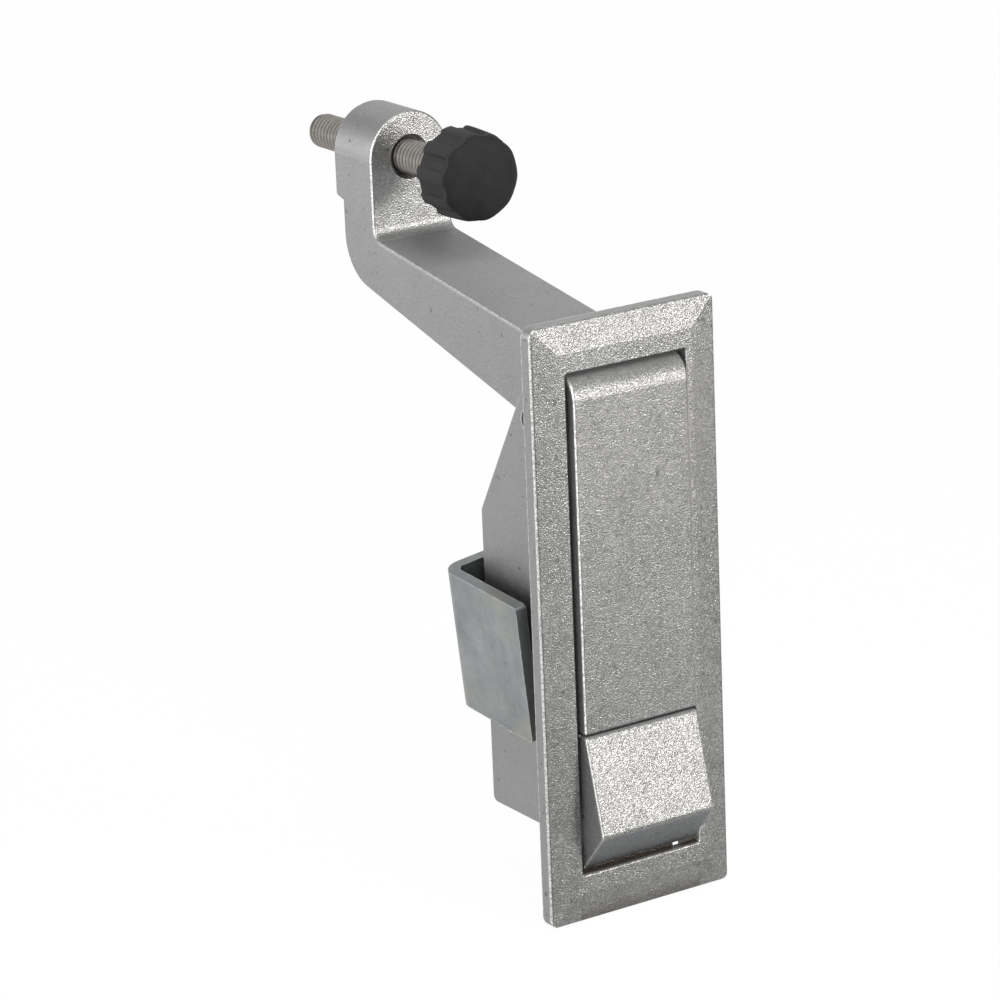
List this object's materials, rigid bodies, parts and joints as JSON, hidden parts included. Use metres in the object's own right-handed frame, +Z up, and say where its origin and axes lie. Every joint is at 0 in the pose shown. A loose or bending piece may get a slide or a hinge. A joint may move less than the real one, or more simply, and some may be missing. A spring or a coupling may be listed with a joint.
{
  "type": "cabinet lever latch",
  "caption": "Flush panel latch with a lever handle, a push trigger, a rear arm with a threaded adjustable bumper, and a folded clamp bracket.",
  "frame": {"origin": "centre of the face plate's back, in the plane that seats on the panel", "axes": "+Z up along the plate's height, +Y from the panel into the cabinet, X across the plate's width; the plate's front looks along -Y"},
  "size_m": [0.0384, 0.0947, 0.1222],
  "materials": {
    "cast_satin": "zinc alloy die casting, grained and satin plated",
    "pin_steel": "bright steel",
    "spring_steel": "spring steel",
    "stud_steel": "stainless steel thread",
    "knob_black": "matte black moulding",
    "zinc_plate": "zinc plated steel sheet, slightly blue"
  },
  "bodies": {
    "frame": {"housing": "cast_satin", "lever_pivot_pin": "pin_steel", "trigger_pin": "pin_steel", "lever_spring": "spring_steel", "trigger_spring": "spring_steel"},
    "lever": {"lever": "cast_satin"},
    "stud": {"adjusting_stud": "stud_steel"},
    "knob": {"bumper_knob": "knob_black"},
    "trigger": {"trigger": "cast_satin"},
    "clamp_stack": {"clamp_washer": "zinc_plate", "clamp_lock_washer": "spring_steel"},
    "clamp_bracket": {"clamp_bracket": "zinc_plate"},
    "clamp_screw": {"clamp_screw": "zinc_plate"}
  },
  "joints": [
    {"name": "lever_swing", "type": "hinge", "parent": "frame", "child": "lever", "pos_m": [0, 0.0048, 0.033], "axis": [-1, 0, 0], "range_deg": [0, 50], "deforming": ["lever_spring"]},
    {"name": "trigger_press", "type": "hinge", "parent": "frame", "child": "trigger", "pos_m": [0, 0.0138, -0.0198], "axis": [1, 0, 0], "range_deg": [0, 12], "stiffness_Nm_per_rad": 0.1, "springref_deg": -28.65, "deforming": ["trigger_spring"]},
    {"name": "stud_travel", "type": "slide", "parent": "lever", "child": "stud", "axis": [0, 1, 0], "range_m": [-0.01, 0.01]},
    {"name": "knob_turn", "type": "hinge", "parent": "stud", "child": "knob", "pos_m": [0, 0.04, 0.06445], "axis": [0, 1, 0], "range_deg": [-3600, 3600]},
    {"name": "clamp_travel", "type": "slide", "parent": "frame", "child": "clamp_stack", "axis": [0, 1, 0], "range_m": [-0.0016, 0.0016]},
    {"name": "bracket_tilt", "type": "hinge", "parent": "clamp_stack", "child": "clamp_bracket", "pos_m": [0, 0.02405, -0.0046], "axis": [0, 1, 0], "range_deg": [0, 15.5]},
    {"name": "clamp_screw_turn", "type": "hinge", "parent": "clamp_stack", "child": "clamp_screw", "pos_m": [0, 0.0277, -0.0046], "axis": [0, 1, 0], "range_deg": [-720, 720]}
  ],
  "couplings": [
    {"joint": "knob_turn", "follows": "stud_travel", "rad_per_m": 6283.2},
    {"joint": "clamp_screw_turn", "follows": "clamp_travel", "rad_per_m": 7853.9}
  ]
}
